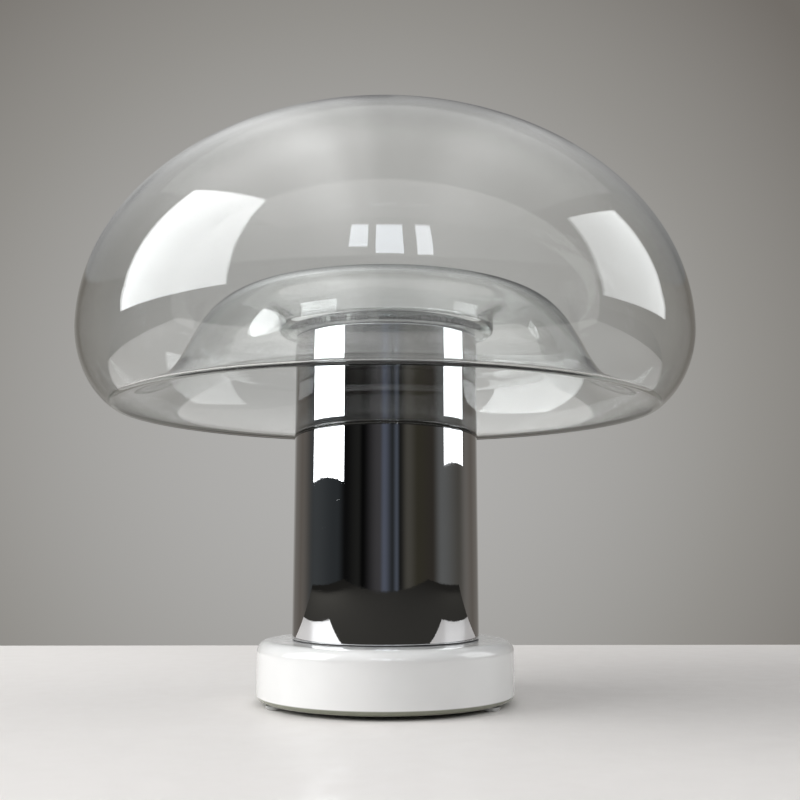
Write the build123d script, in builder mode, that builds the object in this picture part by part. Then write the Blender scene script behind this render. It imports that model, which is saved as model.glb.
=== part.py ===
from build123d import *
import math
import os

# Mushroom table lamp, in millimetres. The origin is on the table under the middle of the base,
# +Z is up and -Y is the front. From the table upwards: three clear feet, an opal glass drum
# base, a chromed tube, and a clear blown glass shade that stands loose on top of the tube.

os.makedirs("parts", exist_ok=True)

# ---- driving dimensions -------------------------------------------------------------------

# Base: a thick opal glass drum, open below, on three clear feet.
base_radius = 82.0
base_wall = 9.5
base_height = 36.5
base_top_thickness = 8.0
base_shoulder_radius = 7.0
base_lip_radius = 3.6
base_ceiling_fillet = 6.0
base_hole_radius = 6.5
foot_radius = 6.0
foot_tip_radius = 5.0
foot_height = 2.5
foot_inset = 7.0
foot_first_angle = -33.0
foot_count = 3

# Column: one straight chromed tube on a thin pad, with a steel seat ring in its mouth.
column_radius = 60.0
column_wall = 1.5
column_length = 191.2
column_pad_thickness = 0.8
column_pad_inset = 0.4
seat_ring_skirt = 15.0
seat_ring_thickness = 2.0
seat_ring_width = 9.0
gasket_thickness = 1.5
gasket_width = 8.0
gasket_inset = 0.6

# Shade: the outer envelope, the bell pushed up into it and the well in the bell's crown. Each
# pair of handles shapes a curve: how far across and how far up its two control points lie, as
# fractions of the whole curve.
shade_radius = 200.0
shade_crown_height = 149.0
shade_belly_depth = 46.8
shade_wall = 3.0
belly_above_seat = 1.0
rim_inset = 21.0
rim_fold_width = 4.4
rim_fold_depth = 1.2
rim_thickening = 0.2
valley_inset = 6.4
bell_wall = 3.0
bell_height = 73.0
bell_waist_height = 26.5
bell_waist_reach = 48.5
bell_crest_roll = 13.5
crown_handles = ((0.0, 0.5523), (0.4477, 1.0))
belly_handles = ((0.0, 0.405), (0.377, 0.782))
fold_handles = ((0.364, 1.02), (0.64, 1.16))
valley_handles = ((0.2, 1.9), (0.6, 1.6))
flare_handles = ((0.367, 0.072), (0.805, 0.434))
bell_handles = ((0.186, 0.366), (0.361, 1.0))
well_radius = 71.5
well_corner_radius = 6.0
well_inner_corner_radius = 4.0
well_floor_thickness = 5.0
well_hole_radius = 48.0

# Clamping: a hollow threaded rod ties cover, weight, base, foot disc and bridge together.
rod_radius = 5.0
rod_bore_radius = 3.5
rod_clearance = 0.2
nut_flats = 17.0
nut_height = 8.0
thin_nut_height = 3.6
bridge_nut_height = 5.0
washer_radius = 12.0
washer_thickness = 1.5
cover_thickness = 1.5
cover_clearance = 0.3
cover_turnup = 4.0
weight_clearance = 8.5
weight_thickness = 12.0
weight_chamfer = 3.0
weight_pad_thickness = 1.5
weight_pad_inset = 2.0
foot_disc_thickness = 1.8
foot_disc_turnup = 4.0
disc_clearance = 0.3

# Bridge: a vented disc on three lugs inside the tube carries the lampholder.
bridge_height = 80.2
bridge_thickness = 1.5
lug_leg_height = 14.0
lug_leg_thickness = 1.5
lug_tab_thickness = 2.0
lug_tab_reach = 12.5
lug_span = 16.0
lug_count = 3
lug_first_angle = 30.0
screw_radius = 2.0
screw_clearance = 0.2
screw_head_radius = 3.6
screw_head_height = 2.4
screw_length = 9.0
vent_radius = 5.0
vent_circle_radius = 34.0
vent_count = 9
earth_circle_radius = 22.0
earth_angle = 200.0
earth_tag_thickness = 0.8
earth_tag_radius = 4.5
earth_tag_length = 12.0
earth_tag_width = 4.0

# Lampholder for a medium screw cap.
holder_radius = 19.5
holder_wall = 1.6
holder_ledge = 3.5
holder_neck_radius = 9.0
holder_neck_height = 6.0
holder_cone_height = 5.5
holder_cap_height = 15.0
holder_shell_height = 36.0
holder_lip_radius = 15.2
holder_lip_thickness = 2.0
rod_in_holder = 6.0
screw_shell_wall = 0.5
screw_shell_length = 24.0
block_clearance = 0.1
block_height = 9.0
tongue_length = 16.0
tongue_width = 5.0
tongue_thickness = 0.6
tongue_rise = 1.0
terminal_screw_radius = 1.8
terminal_screw_length = 7.0
terminal_head_radius = 3.0
terminal_head_height = 1.6
terminal_spacing = 17.0

# Small round opal bulb.
bulb_cap_radius = 13.1
bulb_cap_wall = 0.4
bulb_cap_height = 22.0
bulb_cap_clearance = 0.3
bulb_insulator_height = 3.0
bulb_insulator_foot_radius = 6.0
bulb_tip_radius = 4.6
bulb_tip_height = 1.2
bulb_radius = 22.5
bulb_wall = 0.8
bulb_neck_depth = 5.0
bulb_neck_clearance = 0.1
bulb_globe_rise = 26.0
bulb_neck_angle = 50.0

# Cord bush, low in the back of the tube.
bush_height = 14.0
bush_bore_radius = 3.3
bush_shank_radius = 5.0
bush_flange_radius = 7.5
bush_flange_thickness = 2.0
bush_collar_radius = 6.2
bush_collar_thickness = 2.2
bush_hole_clearance = 0.1

# ---- levels and radii that follow from them -------------------------------------------------

base_top = foot_height + base_height
base_ceiling = base_top - base_top_thickness
base_bore_radius = base_radius - base_wall
foot_circle_radius = base_radius - foot_inset
weight_radius = base_bore_radius - weight_clearance
column_bottom = base_top + column_pad_thickness
column_top = column_bottom + column_length
column_bore_radius = column_radius - column_wall
disc_radius = column_bore_radius - disc_clearance
seat_ring_bore_radius = column_bore_radius - seat_ring_width
shade_seat = column_top + gasket_thickness
belly_level = shade_seat + belly_above_seat
crown_level = belly_level + shade_crown_height
rim_level = belly_level - shade_belly_depth
rim_radius = shade_radius - rim_inset
fold_radius = rim_radius - rim_fold_width
fold_level = rim_level - rim_fold_depth
crest_radius = well_radius + bell_crest_roll
crest_level = fold_level + bell_height
flare_level = crest_level - bell_crest_roll
waist_radius = crest_radius + bell_waist_reach
waist_level = fold_level + bell_waist_height
weight_top = base_ceiling - weight_pad_thickness
weight_bottom = weight_top - weight_thickness
clamp_nut_bottom = weight_bottom - washer_thickness - nut_height
cover_bottom = clamp_nut_bottom - cover_thickness
rod_bottom = cover_bottom - thin_nut_height
rod_hole_radius = rod_radius + rod_clearance
foot_disc_top = column_bottom + foot_disc_thickness
bridge_bottom = column_bottom + bridge_height
bridge_top = bridge_bottom + bridge_thickness
screw_hole_radius = screw_radius + screw_clearance
screw_circle_radius = column_bore_radius - lug_leg_thickness - lug_tab_reach / 2
holder_bottom = bridge_top + bridge_nut_height
holder_split = holder_bottom + holder_cap_height
holder_top = holder_split + holder_shell_height
rod_top = holder_bottom + rod_in_holder
block_top = holder_split + block_height
screw_shell_bore_radius = bulb_cap_radius + bulb_cap_clearance
tongue_top = block_top + tongue_rise + tongue_thickness
bulb_bottom = tongue_top + bulb_cap_clearance
insulator_bottom = bulb_bottom + bulb_tip_height
bulb_cap_bottom = insulator_bottom + bulb_insulator_height
bulb_cap_top = bulb_cap_bottom + bulb_cap_height
bulb_neck_radius = bulb_cap_radius - bulb_cap_wall - bulb_neck_clearance
globe_centre = bulb_cap_top + bulb_globe_rise
bush_level = column_bottom + bush_height


def disc_with_rim(bottom, thickness, radius, rim_height):
    """A pressed disc with its edge turned up and a hole for the rod, in the open part."""
    with BuildSketch(Plane.XZ) as section:
        with BuildLine():
            Polyline(
                (rod_hole_radius, bottom),
                (radius, bottom),
                (radius, bottom + thickness + rim_height),
                (radius - thickness, bottom + thickness + rim_height),
                (radius - thickness, bottom + thickness),
                (rod_hole_radius, bottom + thickness),
                close=True,
            )
        make_face()
    revolve(section.sketch, axis=Axis.Z)


def ring(bottom, height, inner_radius, outer_radius):
    """A flat ring or a tube round the lamp's axis, in the open part."""
    with BuildSketch(Plane.XY.offset(bottom)) as outline:
        Circle(outer_radius)
        Circle(inner_radius, mode=Mode.SUBTRACT)
    extrude(outline.sketch, amount=height)


def hex_nut(bottom, height):
    """A hexagon nut on the rod, in the open part."""
    with BuildSketch(Plane.XY.offset(bottom)) as outline:
        RegularPolygon(nut_flats / 2, 6, major_radius=False)
        Circle(rod_radius, mode=Mode.SUBTRACT)
    extrude(outline.sketch, amount=height)


def bridge_screw():
    """A screw at the current location: the head stands on it and the shank goes down."""
    Cylinder(screw_head_radius, screw_head_height, align=(Align.CENTER, Align.CENTER, Align.MIN))
    Cylinder(screw_radius, screw_length, align=(Align.CENTER, Align.CENTER, Align.MAX))


def shaped_curve(start, end, handles):
    """A smooth curve from start to end with its two control points set by the handles."""
    run = end[0] - start[0]
    rise = end[1] - start[1]
    first, second = handles
    Bezier(
        start,
        (start[0] + first[0] * run, start[1] + first[1] * rise),
        (start[0] + second[0] * run, start[1] + second[1] * rise),
        end,
    )


# ---- base -----------------------------------------------------------------------------------

# Three clear feet under the ground rim of the base.
with BuildPart() as bumper_feet:
    with PolarLocations(foot_circle_radius, foot_count, start_angle=foot_first_angle):
        Cone(
            foot_tip_radius,
            foot_radius,
            foot_height,
            align=(Align.CENTER, Align.CENTER, Align.MIN),
        )
bumper_feet.part.label = "bumper_feet"
export_step(bumper_feet.part, "parts/bumper_feet.step")

# The drum: thick opal glass with a rounded shoulder, an eased lower lip and a hole on top.
with BuildPart() as base_glass:
    with BuildSketch(Plane.XZ):
        with BuildLine():
            Line((base_bore_radius, foot_height), (base_radius - base_lip_radius, foot_height))
            CenterArc(
                (base_radius - base_lip_radius, foot_height + base_lip_radius),
                base_lip_radius,
                270,
                90,
            )
            Line(
                (base_radius, foot_height + base_lip_radius),
                (base_radius, base_top - base_shoulder_radius),
            )
            CenterArc(
                (base_radius - base_shoulder_radius, base_top - base_shoulder_radius),
                base_shoulder_radius,
                0,
                90,
            )
            Line((base_radius - base_shoulder_radius, base_top), (base_hole_radius, base_top))
            Line((base_hole_radius, base_top), (base_hole_radius, base_ceiling))
            Line(
                (base_hole_radius, base_ceiling),
                (base_bore_radius - base_ceiling_fillet, base_ceiling),
            )
            CenterArc(
                (base_bore_radius - base_ceiling_fillet, base_ceiling - base_ceiling_fillet),
                base_ceiling_fillet,
                0,
                90,
            )
            Line(
                (base_bore_radius, base_ceiling - base_ceiling_fillet),
                (base_bore_radius, foot_height),
            )
        make_face()
    revolve(axis=Axis.Z)
base_glass.part.label = "base_glass"
export_step(base_glass.part, "parts/base_glass.step")

# Steel cover that closes the drum from below.
with BuildPart() as cover_plate:
    disc_with_rim(cover_bottom, cover_thickness, base_bore_radius - cover_clearance, cover_turnup)
cover_plate.part.label = "cover_plate"
export_step(cover_plate.part, "parts/cover_plate.step")

# Thin nut that holds the cover.
with BuildPart() as cover_nut:
    hex_nut(rod_bottom, thin_nut_height)
cover_nut.part.label = "cover_nut"
export_step(cover_nut.part, "parts/cover_nut.step")

# Cast weight, drawn up against the underside of the glass.
with BuildPart() as base_weight:
    ring(weight_bottom, weight_thickness, rod_hole_radius, weight_radius)
    chamfer(base_weight.edges().group_by(Axis.Z)[0].sort_by(SortBy.RADIUS)[-1], weight_chamfer)
base_weight.part.label = "base_weight"
export_step(base_weight.part, "parts/base_weight.step")

# Rubber pad between the weight and the glass.
with BuildPart() as weight_pad:
    ring(
        weight_top,
        weight_pad_thickness,
        base_hole_radius,
        weight_radius - weight_pad_inset,
    )
weight_pad.part.label = "weight_pad"
export_step(weight_pad.part, "parts/weight_pad.step")

# Washer and nut under the weight.
with BuildPart() as clamp_washer:
    ring(weight_bottom - washer_thickness, washer_thickness, rod_hole_radius, washer_radius)
clamp_washer.part.label = "clamp_washer"
export_step(clamp_washer.part, "parts/clamp_washer.step")

with BuildPart() as clamp_nut:
    hex_nut(clamp_nut_bottom, nut_height)
clamp_nut.part.label = "clamp_nut"
export_step(clamp_nut.part, "parts/clamp_nut.step")

# Hollow threaded rod, from the cover to the lampholder.
with BuildPart() as tie_rod:
    ring(rod_bottom, rod_top - rod_bottom, rod_bore_radius, rod_radius)
tie_rod.part.label = "tie_rod"
export_step(tie_rod.part, "parts/tie_rod.step")

# ---- column ---------------------------------------------------------------------------------

# Thin pad that keeps metal off the glass.
with BuildPart() as column_pad:
    ring(
        base_top,
        column_pad_thickness,
        base_hole_radius,
        column_radius - column_pad_inset,
    )
column_pad.part.label = "column_pad"
export_step(column_pad.part, "parts/column_pad.step")

# Chromed tube, with a round hole for the cord bush low in its back.
with BuildPart() as column_tube:
    ring(column_bottom, column_length, column_bore_radius, column_radius)
    with BuildSketch(Plane.XZ):
        with Locations((0, bush_level)):
            Circle(bush_shank_radius + bush_hole_clearance)
    extrude(amount=-column_radius, mode=Mode.SUBTRACT)
column_tube.part.label = "column_tube"
export_step(column_tube.part, "parts/column_tube.step")

# Pressed disc that centres the tube on the rod, and its nut.
with BuildPart() as foot_disc:
    disc_with_rim(column_bottom, foot_disc_thickness, disc_radius, foot_disc_turnup)
foot_disc.part.label = "foot_disc"
export_step(foot_disc.part, "parts/foot_disc.step")

with BuildPart() as foot_disc_nut:
    hex_nut(foot_disc_top, nut_height)
foot_disc_nut.part.label = "foot_disc_nut"
export_step(foot_disc_nut.part, "parts/foot_disc_nut.step")

# Seat ring in the tube's mouth: a flat ring with a skirt down inside the tube.
with BuildPart() as seat_ring:
    with BuildSketch(Plane.XZ):
        with BuildLine():
            Polyline(
                (seat_ring_bore_radius, column_top),
                (column_bore_radius, column_top),
                (column_bore_radius, column_top - seat_ring_skirt),
                (column_bore_radius - seat_ring_thickness, column_top - seat_ring_skirt),
                (column_bore_radius - seat_ring_thickness, column_top - seat_ring_thickness),
                (seat_ring_bore_radius, column_top - seat_ring_thickness),
                close=True,
            )
        make_face()
    revolve(axis=Axis.Z)
seat_ring.part.label = "seat_ring"
export_step(seat_ring.part, "parts/seat_ring.step")

# Gasket that the shade stands on.
with BuildPart() as shade_gasket:
    ring(
        column_top,
        gasket_thickness,
        column_radius - gasket_inset - gasket_width,
        column_radius - gasket_inset,
    )
shade_gasket.part.label = "shade_gasket"
export_step(shade_gasket.part, "parts/shade_gasket.step")

# Rubber bush for the cord: a flange outside the tube, a shank through it, a collar inside.
bush_collar_face = math.sqrt(column_bore_radius**2 - bush_collar_radius**2)
bush_axis = Axis((0, 0, bush_level), (0, 1, 0))
with BuildPart() as cord_bush:
    with BuildSketch(Plane.YZ):
        with BuildLine():
            Polyline(
                (bush_collar_face - bush_collar_thickness, bush_level + bush_bore_radius),
                (bush_collar_face - bush_collar_thickness, bush_level + bush_collar_radius),
                (bush_collar_face, bush_level + bush_collar_radius),
                (bush_collar_face, bush_level + bush_shank_radius),
                (column_radius, bush_level + bush_shank_radius),
                (column_radius, bush_level + bush_flange_radius),
                (column_radius + bush_flange_thickness, bush_level + bush_flange_radius),
                (column_radius + bush_flange_thickness, bush_level + bush_bore_radius),
                close=True,
            )
        make_face()
    revolve(axis=bush_axis)
cord_bush.part.label = "cord_bush"
export_step(cord_bush.part, "parts/cord_bush.step")

# ---- bridge ---------------------------------------------------------------------------------

# Lugs welded inside the tube: an upright leg on the wall and a tab turned inwards.
with BuildPart() as bridge_lugs:
    for index in range(lug_count):
        start = math.radians(lug_first_angle + index * 360 / lug_count - lug_span / 2)
        spoke = Plane(
            origin=(0, 0, 0),
            x_dir=(math.cos(start), math.sin(start), 0),
            z_dir=(math.sin(start), -math.cos(start), 0),
        )
        with BuildSketch(spoke) as lug_section:
            with BuildLine():
                Polyline(
                    (column_bore_radius, bridge_bottom),
                    (column_bore_radius, bridge_bottom - lug_leg_height),
                    (column_bore_radius - lug_leg_thickness, bridge_bottom - lug_leg_height),
                    (column_bore_radius - lug_leg_thickness, bridge_bottom - lug_tab_thickness),
                    (
                        column_bore_radius - lug_leg_thickness - lug_tab_reach,
                        bridge_bottom - lug_tab_thickness,
                    ),
                    (column_bore_radius - lug_leg_thickness - lug_tab_reach, bridge_bottom),
                    close=True,
                )
            make_face()
        revolve(lug_section.sketch, axis=Axis.Z, revolution_arc=lug_span)
    with BuildSketch(Plane.XY.offset(bridge_bottom)):
        with PolarLocations(screw_circle_radius, lug_count, start_angle=lug_first_angle):
            Circle(screw_radius)
    extrude(amount=-lug_tab_thickness, mode=Mode.SUBTRACT)
bridge_lugs.part.label = "bridge_lugs"
export_step(bridge_lugs.part, "parts/bridge_lugs.step")

# Bridge plate with a ring of vents, three screw holes and an earth screw hole.
with BuildPart() as bridge_plate:
    with BuildSketch(Plane.XY.offset(bridge_bottom)):
        Circle(disc_radius)
        Circle(rod_hole_radius, mode=Mode.SUBTRACT)
        with PolarLocations(screw_circle_radius, lug_count, start_angle=lug_first_angle):
            Circle(screw_hole_radius, mode=Mode.SUBTRACT)
        with PolarLocations(vent_circle_radius, vent_count):
            Circle(vent_radius, mode=Mode.SUBTRACT)
        with PolarLocations(earth_circle_radius, 1, start_angle=earth_angle):
            Circle(screw_radius, mode=Mode.SUBTRACT)
    extrude(amount=bridge_thickness)
bridge_plate.part.label = "bridge_plate"
export_step(bridge_plate.part, "parts/bridge_plate.step")

with BuildPart() as bridge_screws:
    with PolarLocations(screw_circle_radius, lug_count, start_angle=lug_first_angle):
        with Locations((0, 0, bridge_top)):
            bridge_screw()
bridge_screws.part.label = "bridge_screws"
export_step(bridge_screws.part, "parts/bridge_screws.step")

# Two nuts lock the bridge on the rod, one below it and one above.
with BuildPart() as bridge_nuts:
    hex_nut(bridge_bottom - bridge_nut_height, bridge_nut_height)
    hex_nut(bridge_top, bridge_nut_height)
bridge_nuts.part.label = "bridge_nuts"
export_step(bridge_nuts.part, "parts/bridge_nuts.step")

# Earth tag and its screw.
with BuildPart() as earth_tag:
    with BuildSketch(Plane.XY.offset(bridge_top)):
        with PolarLocations(earth_circle_radius, 1, start_angle=earth_angle):
            Circle(earth_tag_radius)
            Rectangle(earth_tag_length, earth_tag_width, align=(Align.MIN, Align.CENTER))
            Circle(screw_radius, mode=Mode.SUBTRACT)
    extrude(amount=earth_tag_thickness)
earth_tag.part.label = "earth_tag"
export_step(earth_tag.part, "parts/earth_tag.step")

with BuildPart() as earth_screw:
    with PolarLocations(earth_circle_radius, 1, start_angle=earth_angle):
        with Locations((0, 0, bridge_top + earth_tag_thickness)):
            bridge_screw()
earth_screw.part.label = "earth_screw"
export_step(earth_screw.part, "parts/earth_screw.step")

# ---- lampholder -----------------------------------------------------------------------------

# Lower cap: a neck screwed on the rod, a cone and a ledge for the contact block.
holder_bore_radius = holder_radius - holder_ledge
cone_bottom = holder_bottom + holder_neck_height
cone_top = cone_bottom + holder_cone_height
with BuildPart() as holder_cap:
    with BuildSketch(Plane.XZ):
        with BuildLine():
            Polyline(
                (rod_radius, holder_bottom),
                (holder_neck_radius, holder_bottom),
                (holder_neck_radius, cone_bottom),
                (holder_radius, cone_top),
                (holder_radius, holder_split),
                (holder_bore_radius, holder_split),
                (holder_bore_radius, cone_top + holder_wall),
                (holder_neck_radius, cone_bottom + holder_wall),
                (rod_radius, cone_bottom + holder_wall),
                close=True,
            )
        make_face()
    revolve(axis=Axis.Z)
holder_cap.part.label = "holder_cap"
export_step(holder_cap.part, "parts/holder_cap.step")

# Outer shell with a turned-in lip.
with BuildPart() as holder_shell:
    ring(holder_split, holder_shell_height, holder_radius - holder_wall, holder_radius)
    ring(
        holder_top - holder_lip_thickness,
        holder_lip_thickness,
        holder_lip_radius,
        holder_radius,
    )
holder_shell.part.label = "holder_shell"
export_step(holder_shell.part, "parts/holder_shell.step")

# Ceramic contact block, with two blind holes for the terminal screws.
with BuildPart() as contact_block:
    with BuildSketch(Plane.XY.offset(holder_split)):
        Circle(holder_radius - holder_wall - block_clearance)
    extrude(amount=block_height)
    with BuildSketch(Plane.XY.offset(holder_split)):
        with GridLocations(terminal_spacing, 0, 2, 1):
            Circle(terminal_screw_radius)
    extrude(amount=terminal_screw_length, mode=Mode.SUBTRACT)
contact_block.part.label = "contact_block"
export_step(contact_block.part, "parts/contact_block.step")

with BuildPart() as terminal_screws:
    with BuildSketch(Plane.XY.offset(holder_split)):
        with GridLocations(terminal_spacing, 0, 2, 1):
            Circle(terminal_screw_radius)
    extrude(amount=terminal_screw_length)
    with BuildSketch(Plane.XY.offset(holder_split)):
        with GridLocations(terminal_spacing, 0, 2, 1):
            Circle(terminal_head_radius)
    extrude(amount=-terminal_head_height)
terminal_screws.part.label = "terminal_screws"
export_step(terminal_screws.part, "parts/terminal_screws.step")

# Brass screw shell, standing on the block.
with BuildPart() as screw_shell:
    ring(
        block_top,
        screw_shell_length,
        screw_shell_bore_radius,
        screw_shell_bore_radius + screw_shell_wall,
    )
screw_shell.part.label = "screw_shell"
export_step(screw_shell.part, "parts/screw_shell.step")

# Sprung contact tongue: flat on the block, then raised under the bulb's tip.
tongue_end = tongue_length / 2
tongue_flat = -tongue_length / 4
with BuildPart() as centre_contact:
    with BuildSketch(Plane.XZ):
        with BuildLine():
            Polyline(
                (-tongue_end, block_top),
                (tongue_flat, block_top),
                (0, block_top + tongue_rise),
                (tongue_end, block_top + tongue_rise),
                (tongue_end, tongue_top),
                (0, tongue_top),
                (tongue_flat, block_top + tongue_thickness),
                (-tongue_end, block_top + tongue_thickness),
                close=True,
            )
        make_face()
    extrude(amount=tongue_width / 2, both=True)
centre_contact.part.label = "centre_contact"
export_step(centre_contact.part, "parts/centre_contact.step")

# ---- bulb -----------------------------------------------------------------------------------

# Blown envelope: a globe drawn down into a neck that stands in the cap.
neck_turn = math.radians(bulb_neck_angle)
neck_start = (
    bulb_radius * math.cos(neck_turn),
    globe_centre - bulb_radius * math.sin(neck_turn),
)
neck_end = (bulb_neck_radius, bulb_cap_top)
neck_bottom = bulb_cap_top - bulb_neck_depth
inner_radius = bulb_radius - bulb_wall
inner_neck_radius = bulb_neck_radius - bulb_wall
inner_neck_start = (
    inner_radius * math.cos(neck_turn),
    globe_centre - inner_radius * math.sin(neck_turn),
)
with BuildPart() as bulb_glass:
    with BuildSketch(Plane.XZ):
        with BuildLine():
            CenterArc((0, globe_centre), bulb_radius, -bulb_neck_angle, 90 + bulb_neck_angle)
            Line(neck_start, neck_end)
            Line(neck_end, (bulb_neck_radius, neck_bottom))
            Line((bulb_neck_radius, neck_bottom), (inner_neck_radius, neck_bottom))
            Line((inner_neck_radius, neck_bottom), (inner_neck_radius, bulb_cap_top))
            Line((inner_neck_radius, bulb_cap_top), inner_neck_start)
            CenterArc((0, globe_centre), inner_radius, -bulb_neck_angle, 90 + bulb_neck_angle)
            Line((0, globe_centre + inner_radius), (0, globe_centre + bulb_radius))
        make_face()
    revolve(axis=Axis.Z)
bulb_glass.part.label = "bulb_glass"
export_step(bulb_glass.part, "parts/bulb_glass.step")

with BuildPart() as bulb_cap:
    ring(bulb_cap_bottom, bulb_cap_height, bulb_cap_radius - bulb_cap_wall, bulb_cap_radius)
bulb_cap.part.label = "bulb_cap"
export_step(bulb_cap.part, "parts/bulb_cap.step")

with BuildPart() as bulb_insulator:
    with Locations((0, 0, insulator_bottom)):
        Cone(
            bulb_insulator_foot_radius,
            bulb_cap_radius,
            bulb_insulator_height,
            align=(Align.CENTER, Align.CENTER, Align.MIN),
        )
bulb_insulator.part.label = "bulb_insulator"
export_step(bulb_insulator.part, "parts/bulb_insulator.step")

with BuildPart() as bulb_tip:
    with Locations((0, 0, bulb_bottom)):
        Cylinder(bulb_tip_radius, bulb_tip_height, align=(Align.CENTER, Align.CENTER, Align.MIN))
bulb_tip.part.label = "bulb_tip"
export_step(bulb_tip.part, "parts/bulb_tip.step")

# ---- shade ----------------------------------------------------------------------------------

# One blown piece, drawn as a half section. Outside, from the crown down: the crown, the belly,
# the fold of the rim, the flare and the bell above it, and the well that stands on the gasket.
# Inside, from the well back up: the well's floor and wall, the crest, the bell and its flare,
# the rim's valley, and the inner skin of belly and crown.
well_bore_radius = well_radius - bell_wall
floor_top = shade_seat + well_floor_thickness
floor_edge_radius = well_hole_radius + well_floor_thickness / 2
cavity_radius = shade_radius - shade_wall
rim_slope = math.atan2(
    (1 - belly_handles[1][1]) * shade_belly_depth,
    (1 - belly_handles[1][0]) * rim_inset,
)
waist_lean = math.atan2(
    (1 - flare_handles[1][0]) * (fold_radius - waist_radius),
    (1 - flare_handles[1][1]) * bell_waist_height,
)
cavity_rim = (
    rim_radius - shade_wall * math.sin(rim_slope),
    rim_level + shade_wall * math.cos(rim_slope),
)
cavity_valley = (rim_radius - valley_inset, fold_level + bell_wall + rim_thickening)
cavity_waist = (
    waist_radius + bell_wall * math.cos(waist_lean),
    waist_level + bell_wall * math.sin(waist_lean),
)
with BuildPart() as glass_shade:
    with BuildSketch(Plane.XZ):
        with BuildLine():
            shaped_curve((shade_radius, belly_level), (0, crown_level), crown_handles)
            shaped_curve((shade_radius, belly_level), (rim_radius, rim_level), belly_handles)
            shaped_curve((rim_radius, rim_level), (fold_radius, fold_level), fold_handles)
            shaped_curve((fold_radius, fold_level), (waist_radius, waist_level), flare_handles)
            shaped_curve((waist_radius, waist_level), (crest_radius, crest_level), bell_handles)
            CenterArc((crest_radius, flare_level), bell_crest_roll, 90, 90)
            Line((well_radius, flare_level), (well_radius, shade_seat + well_corner_radius))
            CenterArc(
                (well_radius - well_corner_radius, shade_seat + well_corner_radius),
                well_corner_radius,
                270,
                90,
            )
            Line((well_radius - well_corner_radius, shade_seat), (floor_edge_radius, shade_seat))
            CenterArc(
                (floor_edge_radius, shade_seat + well_floor_thickness / 2),
                well_floor_thickness / 2,
                90,
                180,
            )
            Line(
                (floor_edge_radius, floor_top),
                (well_bore_radius - well_inner_corner_radius, floor_top),
            )
            CenterArc(
                (
                    well_bore_radius - well_inner_corner_radius,
                    floor_top + well_inner_corner_radius,
                ),
                well_inner_corner_radius,
                270,
                90,
            )
            Line(
                (well_bore_radius, floor_top + well_inner_corner_radius),
                (well_bore_radius, flare_level),
            )
            CenterArc((crest_radius, flare_level), bell_crest_roll + bell_wall, 90, 90)
            shaped_curve(cavity_waist, (crest_radius, crest_level + bell_wall), bell_handles)
            shaped_curve(cavity_valley, cavity_waist, flare_handles)
            shaped_curve(cavity_rim, cavity_valley, valley_handles)
            shaped_curve((cavity_radius, belly_level), cavity_rim, belly_handles)
            shaped_curve(
                (cavity_radius, belly_level),
                (0, crown_level - shade_wall),
                crown_handles,
            )
            Line((0, crown_level - shade_wall), (0, crown_level))
        make_face()
    revolve(axis=Axis.Z)
glass_shade.part.label = "glass_shade"
export_step(glass_shade.part, "parts/glass_shade.step")
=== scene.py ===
# %% [markdown]
# A mushroom table lamp: a blown glass shade that stands loose on a chromed tube, over a white
# opal glass base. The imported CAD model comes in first, in metres, as a fixed frame. Everything
# else in this lesson is placed by it, and every visible surface gets a finish made from nodes.

# %% Load the frame
import math

import bmesh
import bpy
from mathutils import Matrix, Vector


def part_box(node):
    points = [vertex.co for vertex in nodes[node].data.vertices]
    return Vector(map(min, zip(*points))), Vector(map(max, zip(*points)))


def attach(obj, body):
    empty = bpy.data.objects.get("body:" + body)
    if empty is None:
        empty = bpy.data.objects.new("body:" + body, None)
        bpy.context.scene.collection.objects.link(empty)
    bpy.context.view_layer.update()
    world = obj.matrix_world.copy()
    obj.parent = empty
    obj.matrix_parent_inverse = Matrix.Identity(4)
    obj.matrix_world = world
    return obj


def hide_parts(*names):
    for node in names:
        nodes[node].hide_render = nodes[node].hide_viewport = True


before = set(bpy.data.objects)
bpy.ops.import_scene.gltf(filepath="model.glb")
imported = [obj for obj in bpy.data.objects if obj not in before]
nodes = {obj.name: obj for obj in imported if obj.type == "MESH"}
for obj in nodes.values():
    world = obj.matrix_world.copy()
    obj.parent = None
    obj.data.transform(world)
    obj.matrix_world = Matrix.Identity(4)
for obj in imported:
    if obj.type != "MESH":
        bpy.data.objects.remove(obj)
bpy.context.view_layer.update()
scene = bpy.context.scene
scene.view_settings.view_transform = "Standard"

# %% [markdown]
# Glass needs many bounces. A ray goes in and out of the shade's skin, its bell and its well, and
# each of these has two faces, so a low limit would leave black patches where the glass overlaps.

# %% Light paths
GLASS_BOUNCES = 40
MIRROR_BOUNCES = 12
scene.cycles.max_bounces = GLASS_BOUNCES
scene.cycles.transmission_bounces = GLASS_BOUNCES
scene.cycles.glossy_bounces = MIRROR_BOUNCES
print("transmission bounces", scene.cycles.transmission_bounces)

# %% [markdown]
# The camera stands low in front of the lamp and looks a little upwards, so the shade shows its
# underside and the column hides nothing of the base. The picture is square.

# %% Camera
CAMERA_PLACE = (0.0, -0.670, 0.0933)
CAMERA_PITCH = math.radians(8.58)
CAMERA_TURN = math.atan2(0.0138, 1.0)
CAMERA_SENSOR = 36.0
CAMERA_LENS = 45.74
camera_data = bpy.data.cameras.new("camera")
camera_data.sensor_width = CAMERA_SENSOR
camera_data.lens = CAMERA_LENS
camera = bpy.data.objects.new("camera", camera_data)
scene.collection.objects.link(camera)
camera.matrix_world = (
    Matrix.Translation(CAMERA_PLACE)
    @ Matrix.Rotation(-CAMERA_TURN, 4, "Z")
    @ Matrix.Rotation(math.pi / 2 + CAMERA_PITCH, 4, "X")
)
scene.camera = camera
print("the camera looks up by", round(math.degrees(CAMERA_PITCH), 2), "degrees")

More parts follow.
